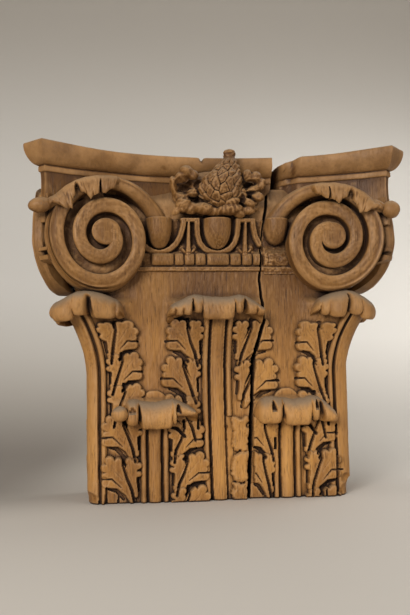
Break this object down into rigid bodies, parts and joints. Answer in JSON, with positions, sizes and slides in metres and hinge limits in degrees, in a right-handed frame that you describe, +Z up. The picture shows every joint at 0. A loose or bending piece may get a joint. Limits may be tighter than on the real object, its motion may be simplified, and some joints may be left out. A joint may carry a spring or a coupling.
{
  "type": "corinthian pilaster capital",
  "caption": "Carved oak capital of a pilaster with acanthus leaves, egg-and-dart and corner scrolls, flat at the back, with an opened joint.",
  "frame": {"origin": "on the bed, below the middle of the whole box", "axes": "+Z up, -Y the carved front, +Y the flat back that stood against the wall, +X to the right seen from the front"},
  "size_m": [0.389, 0.146, 0.356],
  "materials": {
    "oak": "old waxed oak, dark in the cuts and worn on the edges"
  },
  "bodies": {
    "root": {"capital": "oak"}
  },
  "joints": []
}
